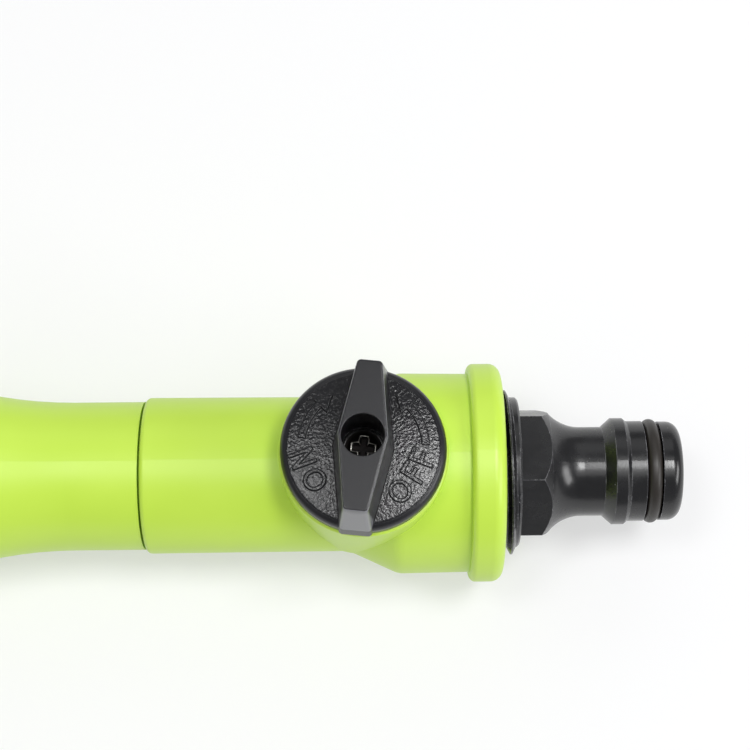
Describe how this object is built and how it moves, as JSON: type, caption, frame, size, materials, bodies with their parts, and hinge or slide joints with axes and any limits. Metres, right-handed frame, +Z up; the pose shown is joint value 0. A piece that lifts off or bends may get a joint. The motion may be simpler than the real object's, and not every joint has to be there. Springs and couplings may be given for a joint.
{
  "type": "watering wand",
  "caption": "Watering wand with a click hose nipple, a quarter-turn valve with a lever knob, a swelling grip, a bent neck and a round shower rose.",
  "frame": {"origin": "on the floor the wand lies on, under the middle of its bounding box", "axes": "+X along the wand's axis towards the hose, +Z up along the valve knob's axis, +Y to the left when looking along +X"},
  "size_m": [0.3789, 0.092, 0.0812],
  "materials": {
    "green_abs": "moulded ABS, satin gloss, lime green",
    "black_pp": "moulded black plastic, semi-gloss",
    "black_knob": "moulded black plastic with a textured face",
    "rubber_black": "black rubber",
    "white_ptfe": "white PTFE",
    "white_acetal": "white acetal",
    "brass_turned": "turned brass",
    "steel_screw": "zinc-plated steel"
  },
  "bodies": {
    "wand": {"hose_connector": "black_pp", "connector_o_ring": "rubber_black", "inlet_gasket": "rubber_black", "valve_body": "green_abs", "seat_carrier": "white_acetal", "carrier_o_ring": "rubber_black", "inlet_seat": "white_ptfe", "outlet_seat": "white_ptfe", "handle": "green_abs", "handle_o_ring": "rubber_black", "front_collar": "black_pp", "collar_o_ring": "rubber_black", "neck_o_ring": "rubber_black", "neck_tube": "green_abs", "head_shell": "green_abs", "head_o_ring": "rubber_black", "rose_gasket": "rubber_black", "rose_plate": "black_pp", "rose_ring": "black_pp"},
    "valve_rotor": {"valve_knob": "black_knob", "knob_screw": "steel_screw", "valve_stem": "brass_turned", "stem_o_ring_lower": "rubber_black", "stem_o_ring_upper": "rubber_black", "valve_ball": "brass_turned"}
  },
  "joints": [
    {"name": "valve_turn", "type": "hinge", "parent": "wand", "child": "valve_rotor", "pos_m": [0.1389, 0, 0.0175], "axis": [0, 0, 1], "range_deg": [-84, 6]}
  ]
}
